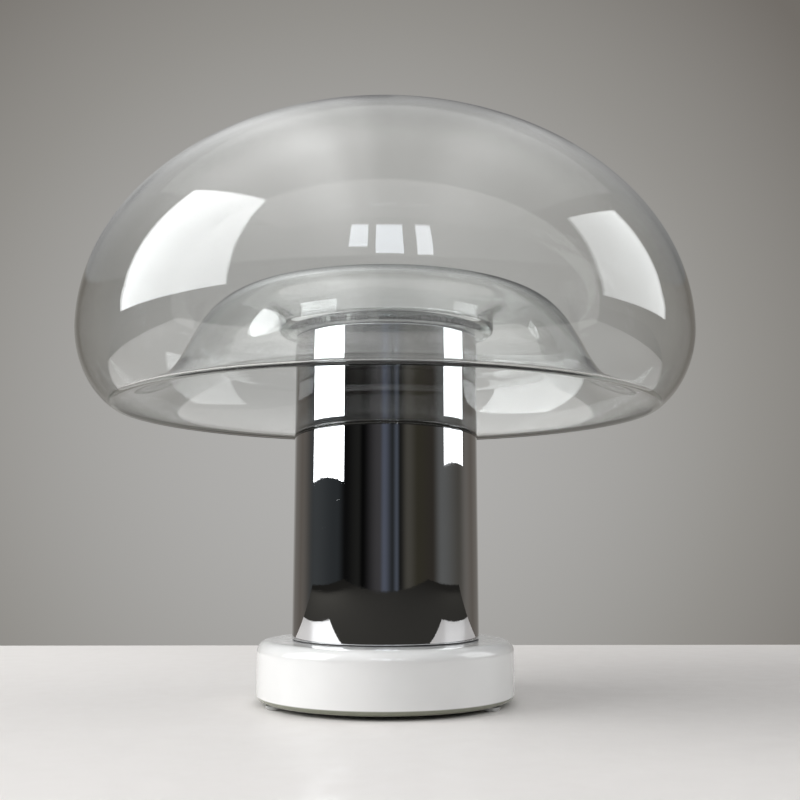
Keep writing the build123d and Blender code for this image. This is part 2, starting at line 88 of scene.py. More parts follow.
# %% [markdown]
# Node trees are easier to read when a helper adds one node and joins its inputs in one line. A
# value that is a socket gets a link, and any other value is set on the node's own input.

# %% Node helpers
def add_node(tree, kind, settings=None, **inputs):
    """One node of that kind, with its settings made and its inputs joined or set."""
    node = tree.nodes.new(kind)
    for name, value in (settings or {}).items():
        setattr(node, name, value)
    for name, value in inputs.items():
        place = int(name[1:]) if name[1:].isdigit() else name.replace("_", " ")
        feed(tree, node.inputs[place], value)
    return node


def feed(tree, socket, value):
    """Joins the socket to another one, or sets its value."""
    if isinstance(value, bpy.types.NodeSocket):
        tree.links.new(value, socket)
    else:
        socket.default_value = value


def sum_of(tree, operation, first, second=0.0, third=0.0):
    """The output of one Math node."""
    settings = {"operation": operation}
    return add_node(tree, "ShaderNodeMath", settings, _0=first, _1=second, _2=third).outputs[0]


def fade(tree, value, start, end, low=0.0, high=1.0):
    """The value's place between start and end, smoothed, as a number from low to high."""
    settings = {"interpolation_type": "SMOOTHSTEP"}
    node = add_node(tree, "ShaderNodeMapRange", settings, Value=value)
    for name, number in (("From Min", start), ("From Max", end), ("To Min", low), ("To Max", high)):
        feed(tree, node.inputs[name], number)
    return node.outputs["Result"]


def blend_colours(tree, share, first, second):
    """A Mix node that goes from the first colour to the second by the share."""
    node = add_node(tree, "ShaderNodeMix", {"data_type": "RGBA"}, Factor=share, _6=first, _7=second)
    return node.outputs[2]


def noise_at(tree, where, scale, detail, **more):
    """The value of a noise texture at those coordinates."""
    node = add_node(tree, "ShaderNodeTexNoise", Vector=where, Scale=scale, Detail=detail, **more)
    return node.outputs["Fac"]


def own_place(tree):
    """The coordinates of the object itself, in metres."""
    return add_node(tree, "ShaderNodeTexCoord").outputs["Object"]


def new_group(name, kind, inputs, outputs):
    """An empty node group with named sockets, and its input and output nodes."""
    group = bpy.data.node_groups.new(name, kind)
    for title, socket, value in inputs:
        made = group.interface.new_socket(title, in_out="INPUT", socket_type=socket)
        if value is not None:
            made.default_value = value
    for title, socket in outputs:
        group.interface.new_socket(title, in_out="OUTPUT", socket_type=socket)
    return group, group.nodes.new("NodeGroupInput"), group.nodes.new("NodeGroupOutput")


print("helpers ready")

# %% [markdown]
# The room behind the lamp is a plain wall with a soft pool of light on it, brighter around the
# lamp and darker towards the corners. It is painted in the world by the angle between a ray and
# the way to the middle of that pool. Past the corners it turns an even grey, so a view from
# another side has a plain backdrop. Diffuse rays get one plain grey instead, so that the wall's
# pattern doesn't tint the lamp or the table.

# %% Wall behind the lamp
POOL_WAY = Vector((-0.03, 1.0, 0.135)).normalized()
WALL_STOPS = (
    (0.0, (0.230, 0.225, 0.215)),
    (0.5, (0.190, 0.182, 0.170)),
    (0.82, (0.120, 0.106, 0.092)),
    (0.93, (0.166, 0.153, 0.138)),
    (0.965, (0.290, 0.280, 0.262)),
    (1.0, (0.440, 0.435, 0.425)),
)
FILL_LIGHT = (0.28, 0.28, 0.285, 1.0)


def tone_ramp(tree, place, stops, blending="LINEAR"):
    """A colour ramp with one element for each stop, read at the place."""
    node = add_node(tree, "ShaderNodeValToRGB", Fac=place)
    node.color_ramp.interpolation = blending
    while len(node.color_ramp.elements) < len(stops):
        node.color_ramp.elements.new(0.5)
    for element, (position, tone) in zip(node.color_ramp.elements, stops):
        element.position = position
        element.color = (*tone, 1.0)
    return node.outputs["Color"]


world = bpy.data.worlds.new("room")
world.use_nodes = True
scene.world = world
room = world.node_tree
room.nodes.clear()
way = add_node(room, "ShaderNodeTexCoord").outputs["Generated"]
way_parts = add_node(room, "ShaderNodeSeparateXYZ", Vector=way).outputs
facing = add_node(room, "ShaderNodeVectorMath", {"operation": "DOT_PRODUCT"}, _0=way, _1=POOL_WAY)
wall = tone_ramp(room, sum_of(room, "MULTIPLY_ADD", facing.outputs["Value"], 0.5, 0.5), WALL_STOPS)
print("the wall has", len(WALL_STOPS), "tones")

# %% [markdown]
# A mirror shows the whole room, so rays that have been mirrored get more than the wall: upright
# zones of furniture and curtain in front of the lamp, each with its own bearing and tone, and a
# pale ceiling that is brighter towards the window side and fades away behind the lamp. The
# ceiling gives the crown of the shade its milky veil. Only a first mirroring finds it, so that it
# doesn't come back a second time as haze in the chrome.

# %% What a mirror finds
ROOM_ZONES = (
    (-180, (0.300, 0.295, 0.285)),
    (-140, (0.080, 0.078, 0.072)),
    (-118, (0.013, 0.013, 0.012)),
    (-97, (0.046, 0.050, 0.052)),
    (-62, (0.026, 0.029, 0.031)),
    (-50, (0.005, 0.005, 0.005)),
    (-34, (0.014, 0.014, 0.013)),
    (-28, (0.003, 0.003, 0.003)),
    (-8, (0.050, 0.048, 0.050)),
    (-2, (0.085, 0.095, 0.125)),
    (8, (0.022, 0.024, 0.026)),
    (13, (0.070, 0.080, 0.100)),
    (17, (0.012, 0.012, 0.011)),
    (27, (0.066, 0.062, 0.052)),
    (40, (0.034, 0.031, 0.022)),
    (58, (0.032, 0.028, 0.023)),
    (72, (0.110, 0.112, 0.110)),
    (104, (0.068, 0.064, 0.056)),
    (145, (0.300, 0.295, 0.285)),
)
CEILING_STOPS = (
    (-1.0, 0.60),
    (-0.5, 1.10),
    (-0.25, 1.55),
    (-0.1, 0.98),
    (0.0, 0.66),
    (0.12, 0.64),
    (0.3, 0.88),
    (0.6, 0.60),
    (1.0, 0.30),
)
CEILING_START = math.sin(math.radians(17))
CEILING_FULL = math.sin(math.radians(75))
CEILING_EDGE = 0.02
CEILING_RISE = (1.0, 3.4)
CEILING_FALL = (1.08, 0.50)
FRONT_FADE = (0.60, 0.15)
BACK_FADE = (0.0, 0.45)
bearing = sum_of(room, "ARCTAN2", way_parts["X"], sum_of(room, "MULTIPLY", way_parts["Y"], -1.0))
bearing_share = sum_of(room, "MULTIPLY_ADD", bearing, 1 / math.tau, 0.5)
zone_stops = [((degrees + 180) / 360, tone) for degrees, tone in ROOM_ZONES]
zones = tone_ramp(room, bearing_share, zone_stops, "EASE")
in_front = fade(room, way_parts["Y"], *FRONT_FADE)
mirrored = blend_colours(room, in_front, wall, zones)
ray = add_node(room, "ShaderNodeLightPath").outputs
once = sum_of(room, "GREATER_THAN", ray["Glossy Depth"], 0.5)
twice = sum_of(room, "GREATER_THAN", ray["Glossy Depth"], 1.5)
side_share = sum_of(room, "MULTIPLY_ADD", way_parts["X"], 0.5, 0.5)
ceiling_stops = [((x + 1) / 2, (level / 2,) * 3) for x, level in CEILING_STOPS]
ceiling_side = tone_ramp(room, side_share, ceiling_stops, "EASE")
rising = fade(room, way_parts["Z"], CEILING_START, CEILING_FULL, *CEILING_RISE)
receding = fade(room, way_parts["Y"], *BACK_FADE, *CEILING_FALL)
ceiling_tone = add_node(
    room,
    "ShaderNodeVectorMath",
    {"operation": "SCALE"},
    _0=ceiling_side,
    Scale=sum_of(room, "MULTIPLY", rising, receding),
)
overhead = fade(room, way_parts["Z"], CEILING_START, CEILING_START + CEILING_EDGE)
seen_once = sum_of(room, "MULTIPLY", overhead, sum_of(room, "SUBTRACT", 1.0, twice))
mirrored = blend_colours(room, seen_once, mirrored, ceiling_tone.outputs[0])
shown = blend_colours(room, once, wall, mirrored)
shown = blend_colours(room, ray["Is Diffuse Ray"], shown, FILL_LIGHT)
background = add_node(room, "ShaderNodeBackground", Color=shown)
add_node(room, "ShaderNodeOutputWorld", Surface=background.outputs[0])
print("the mirrored room has", len(ROOM_ZONES), "zones")

# %% [markdown]
# The glass and the chrome show what stands round them: a large window on each side and three
# small panes high up behind the camera. Each is a soft area lamp that is placed by what the table
# lamp sees: two bearings from the front, two heights above the horizon and a brightness.

# %% Windows
WINDOW_HEART = Vector((0.0, 0.0, 0.225))


def window(name, bearings, heights, distance, brightness, colour):
    """A soft window between two bearings and two heights, in degrees, seen from the shade."""
    bearing = math.radians(sum(bearings) / 2)
    half = math.radians(abs(bearings[1] - bearings[0]) / 2)
    low, high = (WINDOW_HEART.z + distance * math.tan(math.radians(h)) for h in heights)
    light = bpy.data.lights.new(name, "AREA")
    light.shape = "RECTANGLE"
    light.size = 2 * distance * math.tan(half)
    light.size_y = high - low
    light.energy = brightness * math.pi * light.size * light.size_y
    light.color = colour
    lamp = bpy.data.objects.new(name, light)
    scene.collection.objects.link(lamp)
    place = Vector((math.sin(bearing), -math.cos(bearing), 0)) * distance
    place.z = (low + high) / 2
    inward = Vector((-place.x, -place.y, 0)).normalized().to_track_quat("-Z", "Y")
    lamp.matrix_world = Matrix.Translation(place) @ inward.to_matrix().to_4x4()
    lamp.visible_camera = False
    print(name, round(light.size, 2), "by", round(light.size_y, 2), "m")


for name, bearings, heights, distance, brightness, colour in (
    ("left_window", (-99, -52), (1.7, 50), 2.0, 5.2, (0.97, 0.99, 1.0)),
    ("right_window", (75, 109), (2.8, 40), 2.0, 2.7, (0.97, 0.99, 1.0)),
    ("left_pane", (-12.5, -6.2), (21, 33.5), 2.5, 5.4, (0.88, 0.93, 1.0)),
    ("middle_pane", (-3.5, 5.5), (17.8, 33.5), 2.5, 5.4, (0.86, 0.92, 1.0)),
    ("right_pane", (9.8, 15.0), (17.5, 33.5), 2.5, 5.4, (0.90, 0.94, 1.0)),
):
    window(name, bearings, heights, distance, brightness, colour)

# %% [markdown]
# A wide soft lamp overhead fills the shadows. The mirrored room has its own ceiling already, so
# this one lights the lamp without being seen in it.

# %% Ceiling light
CEILING_WIDTH = 4.0
CEILING_BRIGHTNESS = 0.34
CEILING_PLACE = (0.0, -0.6, 2.3)
ceiling_light = bpy.data.lights.new("ceiling", "AREA")
ceiling_light.size = CEILING_WIDTH
ceiling_light.energy = CEILING_BRIGHTNESS * math.pi * CEILING_WIDTH**2
ceiling = bpy.data.objects.new("ceiling", ceiling_light)
scene.collection.objects.link(ceiling)
ceiling.location = CEILING_PLACE
ceiling.visible_camera = False
ceiling.visible_glossy = False
print("ceiling", ceiling_light.size, "m wide")

# %% [markdown]
# The table is a plain pale slab. Its far edge is the line across the picture behind the base. In
# the chrome only the nearer part of the table is pale, because the room beyond it is dark, so rays
# that have been mirrored find a painted dark tone past that distance. Its colour also carries
# painted shade: it is a little darker on the side away from the brighter window, and far out to
# both sides.

# %% Table
TABLE_SIZE = (5.0, 2.4, 0.03)
TABLE_FAR_EDGE = 0.40
TABLE_COLOUR = (0.855, 0.82, 0.79, 1.0)
TABLE_SECOND = (0.825, 0.79, 0.76, 1.0)
TABLE_MIRRORED = (0.036, 0.034, 0.030, 1.0)
TABLE_NEAR = (0.85, 0.33)
TABLE_GRAIN = 60.0
TABLE_GLOSS = (0.42, 0.55)
RIGHT_PAINTED_SHADE = (-0.05, 0.45, 1.0, 0.86)
OUTER_PAINTED_SHADE = (0.50, 1.20, 1.0, 0.50)
half_x, half_y = TABLE_SIZE[0] / 2, TABLE_SIZE[1] / 2
table_middle = TABLE_FAR_EDGE - half_y
corners = [
    (x * half_x, table_middle + y * half_y, z)
    for z in (-TABLE_SIZE[2], 0.0)
    for x, y in ((-1, -1), (1, -1), (1, 1), (-1, 1))
]
sides = [(i, (i + 1) % 4, (i + 1) % 4 + 4, i + 4) for i in range(4)]
table_mesh = bpy.data.meshes.new("table_top")
table_mesh.from_pydata(corners, [], [(3, 2, 1, 0), (4, 5, 6, 7), *sides])
table = bpy.data.objects.new("table_top", table_mesh)
scene.collection.objects.link(table)

table_finish = bpy.data.materials.new("table_finish")
table_finish.use_nodes = True
tree = table_finish.node_tree
table_surface = tree.nodes["Principled BSDF"]
where = own_place(tree)
parts = add_node(tree, "ShaderNodeSeparateXYZ", Vector=where).outputs
aside = sum_of(tree, "ABSOLUTE", parts["X"])
far_aside = sum_of(tree, "GREATER_THAN", aside, TABLE_NEAR[0])
far_front = sum_of(tree, "LESS_THAN", parts["Y"], -TABLE_NEAR[1])
far_away = sum_of(tree, "MAXIMUM", far_aside, far_front)
mirrorings = add_node(tree, "ShaderNodeLightPath").outputs["Glossy Depth"]
once = sum_of(tree, "GREATER_THAN", mirrorings, 0.5)
twice = sum_of(tree, "GREATER_THAN", mirrorings, 1.5)
hidden = sum_of(tree, "MAXIMUM", sum_of(tree, "MULTIPLY", far_away, once), twice)
grain = noise_at(tree, where, TABLE_GRAIN, 6.0)
pale = blend_colours(tree, grain, TABLE_COLOUR, TABLE_SECOND)
# Painted shade: the table's colour is darkened towards the right and far out to both sides.
to_the_right = fade(tree, parts["X"], *RIGHT_PAINTED_SHADE)
outwards = fade(tree, aside, *OUTER_PAINTED_SHADE)
painted_shade_share = sum_of(tree, "MULTIPLY", to_the_right, outwards)
painted_shade_colour = add_node(tree, "ShaderNodeVectorMath", {"operation": "SCALE"}, _0=pale, Scale=painted_shade_share)
seen = blend_colours(tree, hidden, painted_shade_colour.outputs[0], TABLE_MIRRORED)
feed(tree, table_surface.inputs["Base Color"], seen)
shine = sum_of(tree, "MULTIPLY_ADD", hidden, -0.5, 0.5)
feed(tree, table_surface.inputs["Specular IOR Level"], shine)
gloss = fade(tree, grain, 0.3, 0.7, *TABLE_GLOSS)
feed(tree, table_surface.inputs["Roughness"], gloss)
table_mesh.materials.append(table_finish)
print("table from y", TABLE_FAR_EDGE - TABLE_SIZE[1], "to", TABLE_FAR_EDGE)

# %% [markdown]
# The shade, the column, the base, the gasket and the bulb were all made turning: blown in a
# turning mould, rolled, or spun. So one Geometry Nodes tree makes them all. It takes a half
# section as a line of points, lays it out as one column of a grid for each step round the axis,
# turns each column to its place, and merges the seam and the poles. A thread is a wave on the
# radius that moves round with the turn.

# %% The turning tree
TURN_STEPS = 256
MERGE_DISTANCE = 2e-6
turning, given, made = new_group(
    "turning",
    "GeometryNodeTree",
    (
        ("Section", "NodeSocketGeometry", None),
        ("Steps", "NodeSocketInt", TURN_STEPS),
        ("Thread Depth", "NodeSocketFloat", 0.0),
        ("Thread Pitch", "NodeSocketFloat", 0.003),
        ("Thread Bottom", "NodeSocketFloat", 0.0),
        ("Thread Top", "NodeSocketFloat", 0.0),
        ("Material", "NodeSocketMaterial", None),
    ),
    (("Geometry", "NodeSocketGeometry"),),
)
section = given.outputs["Section"]
size = add_node(turning, "GeometryNodeAttributeDomainSize", Geometry=section)
count = size.outputs["Point Count"]
columns = sum_of(turning, "ADD", given.outputs["Steps"], 1.0)
grid = add_node(turning, "GeometryNodeMeshGrid", Vertices_X=columns, Vertices_Y=count)
index = add_node(turning, "GeometryNodeInputIndex").outputs[0]
along = sum_of(turning, "MODULO", index, count)
middle = sum_of(turning, "ADD", index, 0.5)
across = sum_of(turning, "FLOOR", sum_of(turning, "DIVIDE", middle, count))
share = sum_of(turning, "DIVIDE", across, given.outputs["Steps"])
angle = sum_of(turning, "MULTIPLY", share, math.tau)
place = add_node(turning, "GeometryNodeInputPosition").outputs[0]
picked = add_node(
    turning,
    "GeometryNodeSampleIndex",
    {"data_type": "FLOAT_VECTOR", "domain": "POINT"},
    Geometry=section,
    Value=place,
    Index=along,
)
level = add_node(turning, "ShaderNodeSeparateXYZ", Vector=picked.outputs[0]).outputs["Z"]
pitch = given.outputs["Thread Pitch"]
turns = sum_of(turning, "MULTIPLY", sum_of(turning, "DIVIDE", level, pitch), math.tau)
wave = sum_of(turning, "SINE", sum_of(turning, "SUBTRACT", turns, angle))
bottom, top = given.outputs["Thread Bottom"], given.outputs["Thread Top"]
lead_in = fade(turning, level, bottom, sum_of(turning, "ADD", bottom, pitch))
run_out = fade(turning, level, sum_of(turning, "SUBTRACT", top, pitch), top, 1.0, 0.0)
ends = sum_of(turning, "MULTIPLY", lead_in, run_out)
depth = sum_of(turning, "MULTIPLY", given.outputs["Thread Depth"], ends)
swell = add_node(turning, "ShaderNodeCombineXYZ", X=sum_of(turning, "MULTIPLY", wave, depth))
threaded = add_node(turning, "ShaderNodeVectorMath", _0=picked.outputs[0], _1=swell.outputs[0])
turned = add_node(
    turning,
    "ShaderNodeVectorRotate",
    {"rotation_type": "Z_AXIS"},
    Vector=threaded.outputs[0],
    Angle=angle,
)
flat, places = grid.outputs["Mesh"], turned.outputs[0]
shaped = add_node(turning, "GeometryNodeSetPosition", Geometry=flat, Position=places).outputs[0]
merged = add_node(turning, "GeometryNodeMergeByDistance", Geometry=shaped, Distance=MERGE_DISTANCE)
smooth = add_node(turning, "GeometryNodeSetShadeSmooth", Geometry=merged.outputs[0])
real = add_node(turning, "GeometryNodeRealizeInstances", Geometry=smooth.outputs[0]).outputs[0]
finish = given.outputs["Material"]
dressed = add_node(turning, "GeometryNodeSetMaterial", Geometry=real, Material=finish)
turning.links.new(dressed.outputs[0], made.inputs[0])
print("turning tree has", len(turning.nodes), "nodes")

# %% [markdown]
# A tree on a modifier gives its mesh only when it is evaluated, so the result is copied into a
# plain mesh and the modifier goes. Edges sharper than a set angle are marked, which keeps a
# machined edge crisp on a mesh that is smooth elsewhere.

# %% From tree to piece
SHARP_ANGLE = math.radians(40)
LONG_RUN = 4
HOLD_SHARE = 0.3


def run_tree(name, tree, start_mesh, values):
    """Runs a geometry tree on a mesh, and returns its result as an object at the origin."""
    source = bpy.data.objects.new(name + "_source", start_mesh)
    scene.collection.objects.link(source)
    modifier = source.modifiers.new("tree", "NODES")
    modifier.node_group = tree
    sockets = {item.name: item.identifier for item in tree.interface.items_tree}
    for title, value in values.items():
        modifier[sockets[title]] = value
    graph = bpy.context.evaluated_depsgraph_get()
    mesh = bpy.data.meshes.new_from_object(source.evaluated_get(graph))
    bpy.data.objects.remove(source)
    mesh.set_sharp_from_angle(angle=SHARP_ANGLE)
    piece = bpy.data.objects.new(name, mesh)
    scene.collection.objects.link(piece)
    return piece


def hold_straight_runs(points):
    """Adds a point near each end of a long straight run, so that its shading stays straight."""
    held = [points[0]]
    lengths = [math.dist(a, b) for a, b in zip(points, points[1:] + points[:1])]
    for i, (start, end) in enumerate(zip(points, points[1:])):
        near = min(lengths[i - 1], lengths[(i + 1) % len(lengths)])
        if lengths[i] > LONG_RUN * near:
            share = HOLD_SHARE * near / lengths[i]
            for t in (share, 1 - share):
                held.append(tuple(a + (b - a) * t for a, b in zip(start, end)))
        held.append(end)
    return held


def turned_piece(name, outline, finish, steps=TURN_STEPS, closed=True, **thread):
    """A piece turned from its half section, a list of radius and height pairs in metres."""
    points = [outline[0]]
    for point in outline[1:]:
        if math.dist(point, points[-1]) > 2 * MERGE_DISTANCE:
            points.append(point)
    points = hold_straight_runs(points)
    area = sum(a[0] * b[1] - b[0] * a[1] for a, b in zip(points, points[1:] + points[:1]))
    if area < 0:
        points.reverse()
    if closed:
        points.append(points[0])
    line = bpy.data.meshes.new(name + "_section")
    links = [(i, i + 1) for i in range(len(points) - 1)]
    line.from_pydata([(r, 0.0, z) for r, z in points], links, [])
    values = {"Steps": steps, "Material": finish}
    values.update({key.replace("_", " ").title(): value for key, value in thread.items()})
    piece = run_tree(name, turning, line, values)
    print(name, len(points), "points,", len(piece.data.polygons), "faces")
    return piece


# %% [markdown]
# A section is drawn from three kinds of run: straight lines, arcs, and curves whose two handles
# are fractions of the way across and up. The last kind is the one that the solid uses for the
# blown glass, so the smooth mesh and the solid have the same form.

# %% Section helpers
def arc(centre, radius, start, end, count=10):
    """Points on an arc, with its angles in degrees."""
    angles = (math.radians(start + (end - start) * i / count) for i in range(count + 1))
    return [(centre[0] + radius * math.cos(a), centre[1] + radius * math.sin(a)) for a in angles]


def curve(start, end, handles, count=40):
    """Points on a smooth curve from start to end, shaped by two handles."""
    run, rise = end[0] - start[0], end[1] - start[1]
    first, second = ((start[0] + h[0] * run, start[1] + h[1] * rise) for h in handles)
    points = []
    for i in range(count + 1):
        t = i / count
        weights = ((1 - t) ** 3, 3 * t * (1 - t) ** 2, 3 * t * t * (1 - t), t**3)
        pairs = zip(*(start, first, second, end))
        points.append(tuple(sum(w * c for w, c in zip(weights, axis)) for axis in pairs))
    return points


def rounded_box(low, high, radius, count=5):
    """The section of a ring with rounded corners, from its inner low to its outer high corner."""
    points = []
    for x, z, turn in ((1, 0, 270), (1, 1, 0), (0, 1, 90), (0, 0, 180)):
        heart = (
            high[0] - radius if x else low[0] + radius,
            high[1] - radius if z else low[1] + radius,
        )
        points += arc(heart, radius, turn, turn + 90, count)
    return points


print("section helpers ready")

# %% [markdown]
# Finishes come next. Effects that several materials share are node groups, built once. The first
# one gives an even surface the small changes that a real one has: its colour and its gloss drift
# a little over a few centimetres, and a fine grain lies over both.

# %% Surface drift
drift_group, given, made = new_group(
    "surface_drift",
    "ShaderNodeTree",
    (
        ("Colour", "NodeSocketColor", (0.5, 0.5, 0.5, 1.0)),
        ("Second Colour", "NodeSocketColor", (0.4, 0.4, 0.4, 1.0)),
        ("Roughness", "NodeSocketFloat", 0.3),
        ("Spread", "NodeSocketFloat", 0.1),
        ("Patch Scale", "NodeSocketFloat", 30.0),
        ("Grain Scale", "NodeSocketFloat", 600.0),
    ),
    (
        ("Colour", "NodeSocketColor"),
        ("Roughness", "NodeSocketFloat"),
        ("Height", "NodeSocketFloat"),
    ),
)
where = own_place(drift_group)
patches = noise_at(drift_group, where, given.outputs["Patch Scale"], 4.0)
grain = noise_at(drift_group, where, given.outputs["Grain Scale"], 3.0)
patch = fade(drift_group, patches, 0.35, 0.65)
colour = blend_colours(drift_group, patch, given.outputs["Colour"], given.outputs["Second Colour"])
shift = sum_of(drift_group, "SUBTRACT", patch, 0.5)
spread, middle = given.outputs["Spread"], given.outputs["Roughness"]
rough = sum_of(drift_group, "MULTIPLY_ADD", shift, spread, middle)
feed(drift_group, made.inputs["Colour"], colour)
feed(drift_group, made.inputs["Roughness"], sum_of(drift_group, "MAXIMUM", rough, 0.0))
feed(drift_group, made.inputs["Height"], grain)
print("surface drift ready")

# %% [markdown]
# Handled things carry scratches. These are short thin streaks: a noise that is stretched along
# one direction and cut off high, so that only its crests are left. Two of them at different
# angles look like the marks of a cloth. The group gives a mask, and each material decides how
# much of it is roughness and how much is colour.

# %% Scratches
scratch_group, given, made = new_group(
    "scratches",
    "ShaderNodeTree",
    (
        ("Density", "NodeSocketFloat", 0.3),
        ("Stretch", "NodeSocketVector", (900.0, 900.0, 25.0)),
        ("Second Stretch", "NodeSocketVector", (60.0, 60.0, 1400.0)),
    ),
    (("Mask", "NodeSocketFloat"),),
)
where = own_place(scratch_group)
lowered = sum_of(scratch_group, "MULTIPLY", given.outputs["Density"], 0.2)
cut = sum_of(scratch_group, "SUBTRACT", 0.80, lowered)
streaks = []
for title in ("Stretch", "Second Stretch"):
    drawn_out = add_node(
        scratch_group,
        "ShaderNodeVectorMath",
        {"operation": "MULTIPLY"},
        _0=where,
        _1=given.outputs[title],
    )
    noise = noise_at(scratch_group, drawn_out.outputs[0], 1.0, 2.0)
    streaks.append(fade(scratch_group, noise, cut, 0.85))
feed(scratch_group, made.inputs["Mask"], sum_of(scratch_group, "MAXIMUM", *streaks))
print("scratches ready")

# %% [markdown]
# Dust settles on what faces up. The group reads the surface's own normal, keeps the part that
# points upwards, and breaks it up with noise.

# %% Dust
dust_group, given, made = new_group(
    "dust",
    "ShaderNodeTree",
    (("Amount", "NodeSocketFloat", 0.5),),
    (("Mask", "NodeSocketFloat"),),
)
normal = add_node(dust_group, "ShaderNodeNewGeometry").outputs["Normal"]
upward = add_node(dust_group, "ShaderNodeSeparateXYZ", Vector=normal).outputs["Z"]
where = own_place(dust_group)
cloud = noise_at(dust_group, where, 70.0, 8.0, Roughness=0.7)
lying = fade(dust_group, upward, 0.5, 1.0)
loose = sum_of(dust_group, "MULTIPLY", lying, fade(dust_group, cloud, 0.35, 0.75))
dust_mask = sum_of(dust_group, "MULTIPLY", loose, given.outputs["Amount"])
feed(dust_group, made.inputs["Mask"], dust_mask)
print("dust ready")

# %% [markdown]
# One helper starts each material: it sets the numbers that are the same all over the surface
# straight on the shader, and hands back the tree for what changes from place to place.

# %% Material helper
finishes = {}


def start_finish(name, **numbers):
    """A material on that slot's name, with its Principled BSDF set to the plain numbers."""
    material = bpy.data.materials.new(name)
    material.use_nodes = True
    surface = material.node_tree.nodes["Principled BSDF"]
    for title, value in numbers.items():
        surface.inputs[title.replace("_", " ")].default_value = value
    finishes[name] = material
    return material.node_tree, surface


def use_group(tree, group, **inputs):
    """A copy of a shared effect in this material, with its own values."""
    node = add_node(tree, "ShaderNodeGroup", {"node_tree": group})
    for title, value in inputs.items():
        feed(tree, node.inputs[title.replace("_", " ")], value)
    return node.outputs


def bump(tree, height, strength, depth, under=None):
    """The output of a Bump node: the height raises the surface by up to depth, in metres."""
    node = add_node(tree, "ShaderNodeBump", Height=height, Strength=strength, Distance=depth)
    if under is not None:
        feed(tree, node.inputs["Normal"], under)
    return node.outputs["Normal"]


print("material helper ready")

# %% [markdown]
# Clear blown glass is never quite even. Its skin is a little wavy, wiped hands leave soft smears,
# and fine dust lies on the crown. The glass itself has a faint grey-green colour, which only
# shows where the eye looks along the wall, at the outline and at the bell's shoulder.

# %% Clear glass
GLASS_TINT = (0.55, 0.68, 0.63, 1.0)
GLASS_DENSITY = 20.0
tree, surface = start_finish(
    "clear_glass", Base_Color=(1.0, 1.0, 1.0, 1.0), Transmission_Weight=1.0, IOR=1.5
)
where = own_place(tree)
dusty = use_group(tree, dust_group, Amount=0.5)
smears = noise_at(tree, where, 22.0, 5.0, Roughness=0.65)
smeared = fade(tree, smears, 0.50, 0.80, 0.0, 0.018)
clouded = sum_of(tree, "MULTIPLY_ADD", dusty["Mask"], 0.03, smeared)
feed(tree, surface.inputs["Roughness"], clouded)
swell = noise_at(tree, where, 14.0, 1.0)
feed(tree, surface.inputs["Normal"], bump(tree, swell, 0.35, 0.0006))
body = add_node(tree, "ShaderNodeVolumeAbsorption", Color=GLASS_TINT, Density=GLASS_DENSITY)
tree.links.new(body.outputs[0], tree.nodes["Material Output"].inputs["Volume"])
print("clear glass ready")

# %% [markdown]
# The base is opal glass cased in clear glass: white, deep and glossy. At its ground lower edge the
# white stops short, and a thin dark olive line is painted there: partly the clear glass of the
# casing, partly painted shade from the gap under the base.

# %% Opal glass
EDGE_CLEAR = 0.0052
EDGE_WHITE = 0.0060
EDGE_GLASS_AND_SHADE = (0.20, 0.205, 0.155, 1.0)
DUST_COLOUR = (0.62, 0.60, 0.57, 1.0)
tree, surface = start_finish("opal_glass", Coat_Weight=0.35, Coat_Roughness=0.02, IOR=1.5)
drifting = use_group(
    tree,
    drift_group,
    Colour=(0.775, 0.765, 0.75, 1.0),
    Second_Colour=(0.745, 0.74, 0.725, 1.0),
    Roughness=0.10,
    Spread=0.04,
    Patch_Scale=18.0,
    Grain_Scale=260.0,
)
dusty = use_group(tree, dust_group, Amount=0.5)
where = own_place(tree)
level = add_node(tree, "ShaderNodeSeparateXYZ", Vector=where).outputs["Z"]
# Painted shade: below this height the white gives way to a dark olive tone, for the clear casing
# and the shade of the gap under the base.
white = fade(tree, level, EDGE_CLEAR, EDGE_WHITE)
casing_and_shade = blend_colours(tree, white, EDGE_GLASS_AND_SHADE, drifting["Colour"])
dust_share = sum_of(tree, "MULTIPLY", dusty["Mask"], 0.35)
dusted = blend_colours(tree, dust_share, casing_and_shade, DUST_COLOUR)
feed(tree, surface.inputs["Base Color"], dusted)
feed(tree, surface.inputs["Roughness"], sum_of(tree, "ADD", drifting["Roughness"], dust_share))
feed(tree, surface.inputs["Normal"], bump(tree, drifting["Height"], 0.15, 0.0001))
print("opal glass ready")

# %% [markdown]
# Mirror chrome is a metal with almost no roughness. What makes it look real is what is on it:
# hairline scratches up and round the tube, and a faint film from wiping. The other metals share
# its recipe. Each row gives a bright and a dull colour, the roughness and how far it drifts, how
# many scratches there are and how deep they go. The cast iron is painted, so it isn't metallic.

